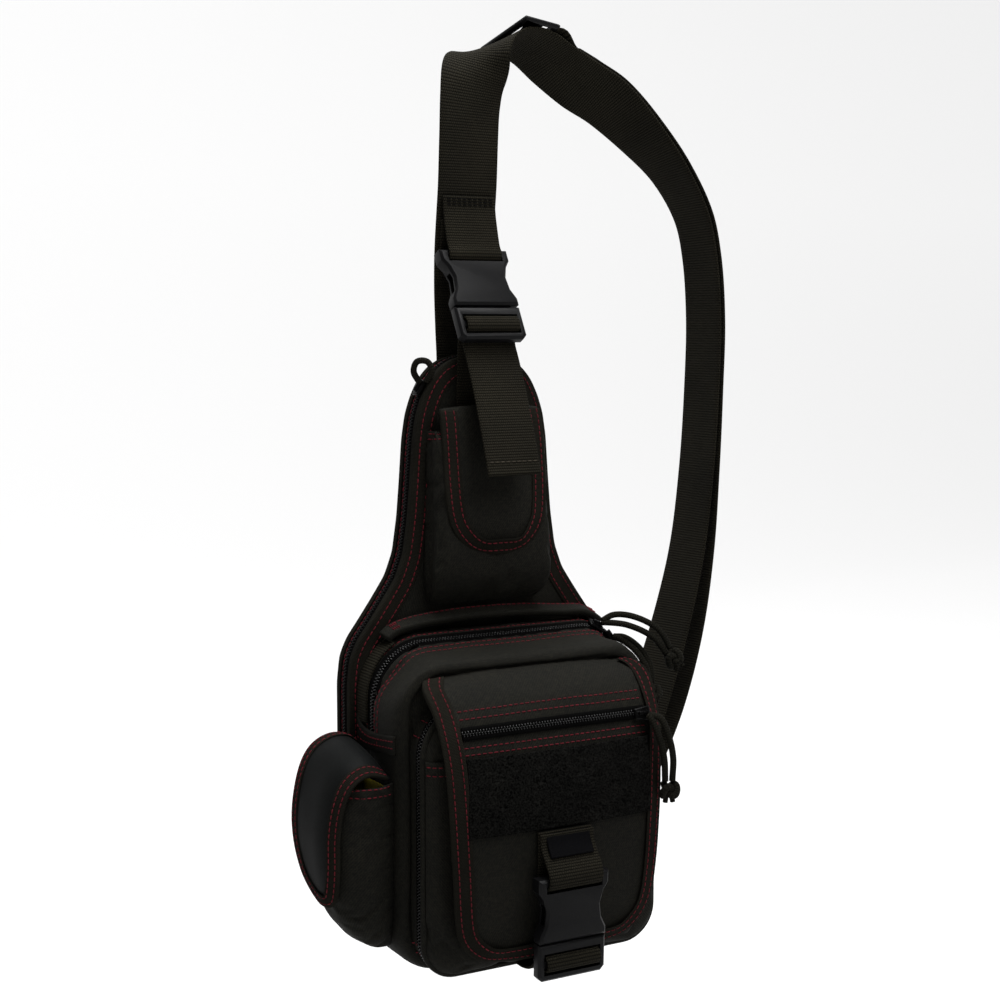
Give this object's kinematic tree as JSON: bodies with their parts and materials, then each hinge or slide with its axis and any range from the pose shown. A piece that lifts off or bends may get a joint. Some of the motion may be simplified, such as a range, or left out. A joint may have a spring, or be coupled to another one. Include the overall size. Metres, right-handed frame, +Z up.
{
  "type": "chest bag",
  "caption": "Slim upright chest bag with a waisted back compartment, stacked zipped pockets, buckled flaps, a side pocket and one wide shoulder strap, hanging from its strap.",
  "frame": {"origin": "The point under the arch of the shoulder strap where the bag hangs.", "axes": "+Z up, -Y the way the flaps face, +X the wearer-side strap's way to the right seen from the front."},
  "size_m": [0.3535, 0.1817, 0.6247],
  "materials": {
    "label": "matte woven tape",
    "zip": "woven tape with a satin coil",
    "slider": "gloss black",
    "loop_pile": "matte pile",
    "acetal": "satin",
    "canvas": "matte woven nylon",
    "webbing": "ribbed webbing",
    "smooth_cloth": "smooth coated cloth",
    "lining": "matte",
    "cordage": "braided"
  },
  "bodies": {
    "root": {"label_tab": "label", "shell_zip": "zip", "main_zip": "zip", "front_pocket_zip": "zip", "flap_zip": "zip", "shell_zip_slider": "slider", "main_zip_slider_upper": "slider", "main_zip_slider_lower": "slider", "flap_zip_slider": "slider", "loop_panel": "loop_pile", "flap_buckle_socket": "acetal", "flap_buckle_plug": "acetal", "strap_slider": "acetal", "strap_ring": "acetal", "strap_buckle_socket": "acetal", "strap_buckle_plug": "acetal", "back_panel": "canvas", "shell_front_panel": "canvas", "shell_gusset_rear": "canvas", "shell_gusset_front": "canvas", "shell_gusset_base": "canvas", "main_gusset_rear": "canvas", "main_gusset_front": "canvas", "main_gusset_base": "canvas", "main_front_panel": "canvas", "front_pocket_gusset": "canvas", "front_pocket_base": "canvas", "front_pocket_panel": "canvas", "slip_pocket": "canvas", "front_flap": "canvas", "neck_pocket": "canvas", "neck_flap": "canvas", "carry_handle": "canvas", "side_pocket": "canvas", "side_flap_band": "canvas", "flap_webbing": "webbing", "flap_anchor_webbing": "webbing", "shoulder_strap": "webbing", "ring_tab": "webbing", "buckle_loop_webbing": "webbing", "load_webbing": "webbing", "shoulder_webbing_left": "webbing", "shoulder_webbing_right": "webbing", "side_flap": "smooth_cloth", "side_pocket_lining": "lining", "main_pull_upper_cord_a": "cordage", "main_pull_upper_cord_b": "cordage", "main_pull_upper_knot": "cordage", "main_pull_lower_cord_a": "cordage", "main_pull_lower_cord_b": "cordage", "main_pull_lower_knot": "cordage", "flap_pull_cord_a": "cordage", "flap_pull_cord_b": "cordage", "flap_pull_knot": "cordage", "shell_pull_cord": "cordage"}
  },
  "joints": []
}
